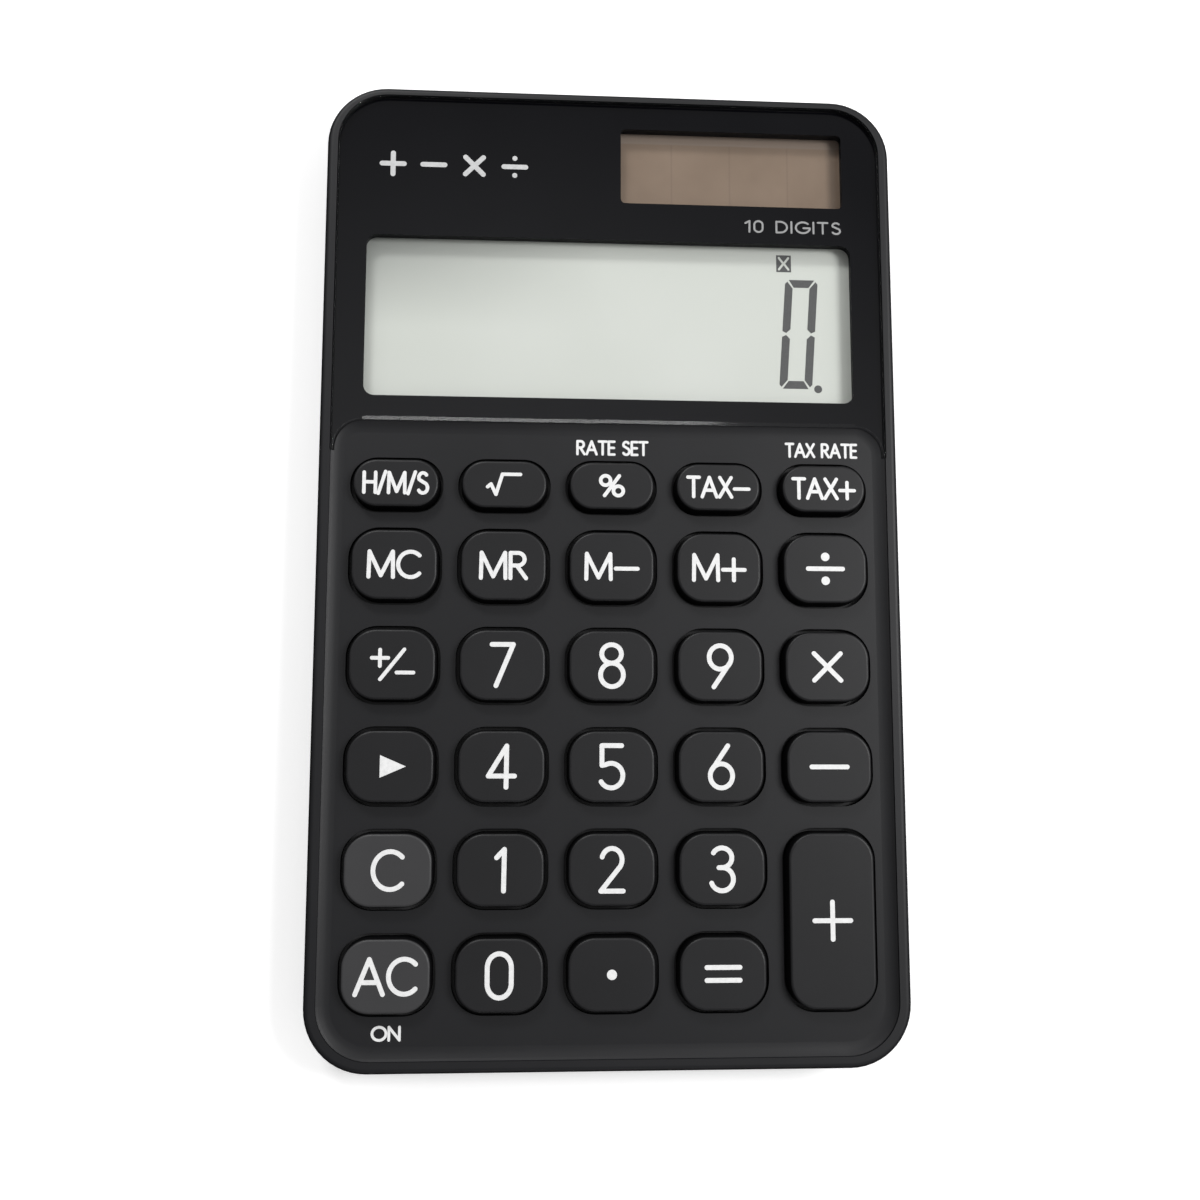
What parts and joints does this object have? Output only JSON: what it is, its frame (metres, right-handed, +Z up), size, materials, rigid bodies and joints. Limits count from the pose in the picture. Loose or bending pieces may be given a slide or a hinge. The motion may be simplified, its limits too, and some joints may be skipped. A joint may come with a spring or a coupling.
{
  "type": "pocket calculator",
  "caption": "Slim black pocket calculator with a clear display plate, a display, a solar strip and rubber-dome keys that travel.",
  "frame": {"origin": "middle of the underside that the calculator rests on", "axes": "+Z up out of the keys, +Y towards the display end, +X to the right of a user"},
  "size_m": [0.07, 0.118, 0.008],
  "materials": {
    "case_plastic": "fine spark-eroded black",
    "key_plastic": "fine satin dark grey",
    "grey_key_plastic": "fine satin mid grey",
    "panel_acrylic": "clear polished",
    "mask_film": "black film behind the plate",
    "polariser_film": "grey-green film",
    "lcd_glass": "clear thin glass",
    "reflector_film": "pale satin",
    "holder_plastic": "natural white",
    "connector_rubber": "layered rubber strip",
    "solar_glass": "brown cell under glass",
    "silicone": "translucent grey",
    "carbon_rubber": "matt black",
    "board_laminate": "bare laminate",
    "chip_epoxy": "black epoxy",
    "capacitor_ceramic": "tan ceramic",
    "screw_steel": "zinc plated",
    "cell_steel": "nickel plated",
    "contact_steel": "tinned spring strip",
    "wire_cover": "plain insulation"
  },
  "bodies": {
    "case": {"front_case": "case_plastic", "rear_cover": "case_plastic", "display_panel": "panel_acrylic", "panel_mask": "mask_film", "lcd_polariser": "polariser_film", "lcd_glass": "lcd_glass", "lcd_reflector": "reflector_film", "lcd_holder": "holder_plastic", "lcd_connector": "connector_rubber", "solar_cell": "solar_glass", "dome_sheet": "silicone", "contact_pills": "carbon_rubber", "circuit_board": "board_laminate", "chip_blob": "chip_epoxy", "capacitors": "capacitor_ceramic", "board_screws": "screw_steel", "case_screws": "screw_steel", "button_cell": "cell_steel", "contact_negative": "contact_steel", "contact_positive": "contact_steel", "solar_leads": "wire_cover", "battery_leads": "wire_cover"},
    "key_time": {"key_time": "key_plastic"},
    "key_root": {"key_root": "key_plastic"},
    "key_percent": {"key_percent": "key_plastic"},
    "key_tax_minus": {"key_tax_minus": "key_plastic"},
    "key_tax_plus": {"key_tax_plus": "key_plastic"},
    "key_memory_clear": {"key_memory_clear": "key_plastic"},
    "key_memory_recall": {"key_memory_recall": "key_plastic"},
    "key_memory_minus": {"key_memory_minus": "key_plastic"},
    "key_memory_plus": {"key_memory_plus": "key_plastic"},
    "key_divide": {"key_divide": "key_plastic"},
    "key_sign": {"key_sign": "key_plastic"},
    "key_7": {"key_7": "key_plastic"},
    "key_8": {"key_8": "key_plastic"},
    "key_9": {"key_9": "key_plastic"},
    "key_multiply": {"key_multiply": "key_plastic"},
    "key_backspace": {"key_backspace": "key_plastic"},
    "key_4": {"key_4": "key_plastic"},
    "key_5": {"key_5": "key_plastic"},
    "key_6": {"key_6": "key_plastic"},
    "key_minus": {"key_minus": "key_plastic"},
    "key_clear": {"key_clear": "grey_key_plastic"},
    "key_1": {"key_1": "key_plastic"},
    "key_2": {"key_2": "key_plastic"},
    "key_3": {"key_3": "key_plastic"},
    "key_all_clear": {"key_all_clear": "grey_key_plastic"},
    "key_0": {"key_0": "key_plastic"},
    "key_point": {"key_point": "key_plastic"},
    "key_equals": {"key_equals": "key_plastic"},
    "key_plus": {"key_plus": "key_plastic"}
  },
  "joints": [
    {"name": "key_time_travel", "type": "slide", "parent": "case", "child": "key_time", "axis": [0, 0, -1], "range_m": [0, 0.0008], "stiffness_N_per_m": 400, "springref_m": -0.0004, "deforming": ["dome_sheet", "contact_pills"]},
    {"name": "key_root_travel", "type": "slide", "parent": "case", "child": "key_root", "axis": [0, 0, -1], "range_m": [0, 0.0008], "stiffness_N_per_m": 400, "springref_m": -0.0004, "deforming": ["dome_sheet", "contact_pills"]},
    {"name": "key_percent_travel", "type": "slide", "parent": "case", "child": "key_percent", "axis": [0, 0, -1], "range_m": [0, 0.0008], "stiffness_N_per_m": 400, "springref_m": -0.0004, "deforming": ["dome_sheet", "contact_pills"]},
    {"name": "key_tax_minus_travel", "type": "slide", "parent": "case", "child": "key_tax_minus", "axis": [0, 0, -1], "range_m": [0, 0.0008], "stiffness_N_per_m": 400, "springref_m": -0.0004, "deforming": ["dome_sheet", "contact_pills"]},
    {"name": "key_tax_plus_travel", "type": "slide", "parent": "case", "child": "key_tax_plus", "axis": [0, 0, -1], "range_m": [0, 0.0008], "stiffness_N_per_m": 400, "springref_m": -0.0004, "deforming": ["dome_sheet", "contact_pills"]},
    {"name": "key_memory_clear_travel", "type": "slide", "parent": "case", "child": "key_memory_clear", "axis": [0, 0, -1], "range_m": [0, 0.0008], "stiffness_N_per_m": 400, "springref_m": -0.0004, "deforming": ["dome_sheet", "contact_pills"]},
    {"name": "key_memory_recall_travel", "type": "slide", "parent": "case", "child": "key_memory_recall", "axis": [0, 0, -1], "range_m": [0, 0.0008], "stiffness_N_per_m": 400, "springref_m": -0.0004, "deforming": ["dome_sheet", "contact_pills"]},
    {"name": "key_memory_minus_travel", "type": "slide", "parent": "case", "child": "key_memory_minus", "axis": [0, 0, -1], "range_m": [0, 0.0008], "stiffness_N_per_m": 400, "springref_m": -0.0004, "deforming": ["dome_sheet", "contact_pills"]},
    {"name": "key_memory_plus_travel", "type": "slide", "parent": "case", "child": "key_memory_plus", "axis": [0, 0, -1], "range_m": [0, 0.0008], "stiffness_N_per_m": 400, "springref_m": -0.0004, "deforming": ["dome_sheet", "contact_pills"]},
    {"name": "key_divide_travel", "type": "slide", "parent": "case", "child": "key_divide", "axis": [0, 0, -1], "range_m": [0, 0.0008], "stiffness_N_per_m": 400, "springref_m": -0.0004, "deforming": ["dome_sheet", "contact_pills"]},
    {"name": "key_sign_travel", "type": "slide", "parent": "case", "child": "key_sign", "axis": [0, 0, -1], "range_m": [0, 0.0008], "stiffness_N_per_m": 400, "springref_m": -0.0004, "deforming": ["dome_sheet", "contact_pills"]},
    {"name": "key_7_travel", "type": "slide", "parent": "case", "child": "key_7", "axis": [0, 0, -1], "range_m": [0, 0.0008], "stiffness_N_per_m": 400, "springref_m": -0.0004, "deforming": ["dome_sheet", "contact_pills"]},
    {"name": "key_8_travel", "type": "slide", "parent": "case", "child": "key_8", "axis": [0, 0, -1], "range_m": [0, 0.0008], "stiffness_N_per_m": 400, "springref_m": -0.0004, "deforming": ["dome_sheet", "contact_pills"]},
    {"name": "key_9_travel", "type": "slide", "parent": "case", "child": "key_9", "axis": [0, 0, -1], "range_m": [0, 0.0008], "stiffness_N_per_m": 400, "springref_m": -0.0004, "deforming": ["dome_sheet", "contact_pills"]},
    {"name": "key_multiply_travel", "type": "slide", "parent": "case", "child": "key_multiply", "axis": [0, 0, -1], "range_m": [0, 0.0008], "stiffness_N_per_m": 400, "springref_m": -0.0004, "deforming": ["dome_sheet", "contact_pills"]},
    {"name": "key_backspace_travel", "type": "slide", "parent": "case", "child": "key_backspace", "axis": [0, 0, -1], "range_m": [0, 0.0008], "stiffness_N_per_m": 400, "springref_m": -0.0004, "deforming": ["dome_sheet", "contact_pills"]},
    {"name": "key_4_travel", "type": "slide", "parent": "case", "child": "key_4", "axis": [0, 0, -1], "range_m": [0, 0.0008], "stiffness_N_per_m": 400, "springref_m": -0.0004, "deforming": ["dome_sheet", "contact_pills"]},
    {"name": "key_5_travel", "type": "slide", "parent": "case", "child": "key_5", "axis": [0, 0, -1], "range_m": [0, 0.0008], "stiffness_N_per_m": 400, "springref_m": -0.0004, "deforming": ["dome_sheet", "contact_pills"]},
    {"name": "key_6_travel", "type": "slide", "parent": "case", "child": "key_6", "axis": [0, 0, -1], "range_m": [0, 0.0008], "stiffness_N_per_m": 400, "springref_m": -0.0004, "deforming": ["dome_sheet", "contact_pills"]},
    {"name": "key_minus_travel", "type": "slide", "parent": "case", "child": "key_minus", "axis": [0, 0, -1], "range_m": [0, 0.0008], "stiffness_N_per_m": 400, "springref_m": -0.0004, "deforming": ["dome_sheet", "contact_pills"]},
    {"name": "key_clear_travel", "type": "slide", "parent": "case", "child": "key_clear", "axis": [0, 0, -1], "range_m": [0, 0.0008], "stiffness_N_per_m": 400, "springref_m": -0.0004, "deforming": ["dome_sheet", "contact_pills"]},
    {"name": "key_1_travel", "type": "slide", "parent": "case", "child": "key_1", "axis": [0, 0, -1], "range_m": [0, 0.0008], "stiffness_N_per_m": 400, "springref_m": -0.0004, "deforming": ["dome_sheet", "contact_pills"]},
    {"name": "key_2_travel", "type": "slide", "parent": "case", "child": "key_2", "axis": [0, 0, -1], "range_m": [0, 0.0008], "stiffness_N_per_m": 400, "springref_m": -0.0004, "deforming": ["dome_sheet", "contact_pills"]},
    {"name": "key_3_travel", "type": "slide", "parent": "case", "child": "key_3", "axis": [0, 0, -1], "range_m": [0, 0.0008], "stiffness_N_per_m": 400, "springref_m": -0.0004, "deforming": ["dome_sheet", "contact_pills"]},
    {"name": "key_all_clear_travel", "type": "slide", "parent": "case", "child": "key_all_clear", "axis": [0, 0, -1], "range_m": [0, 0.0008], "stiffness_N_per_m": 400, "springref_m": -0.0004, "deforming": ["dome_sheet", "contact_pills"]},
    {"name": "key_0_travel", "type": "slide", "parent": "case", "child": "key_0", "axis": [0, 0, -1], "range_m": [0, 0.0008], "stiffness_N_per_m": 400, "springref_m": -0.0004, "deforming": ["dome_sheet", "contact_pills"]},
    {"name": "key_point_travel", "type": "slide", "parent": "case", "child": "key_point", "axis": [0, 0, -1], "range_m": [0, 0.0008], "stiffness_N_per_m": 400, "springref_m": -0.0004, "deforming": ["dome_sheet", "contact_pills"]},
    {"name": "key_equals_travel", "type": "slide", "parent": "case", "child": "key_equals", "axis": [0, 0, -1], "range_m": [0, 0.0008], "stiffness_N_per_m": 400, "springref_m": -0.0004, "deforming": ["dome_sheet", "contact_pills"]},
    {"name": "key_plus_travel", "type": "slide", "parent": "case", "child": "key_plus", "axis": [0, 0, -1], "range_m": [0, 0.0008], "stiffness_N_per_m": 400, "springref_m": -0.0004, "deforming": ["dome_sheet", "contact_pills"]}
  ]
}
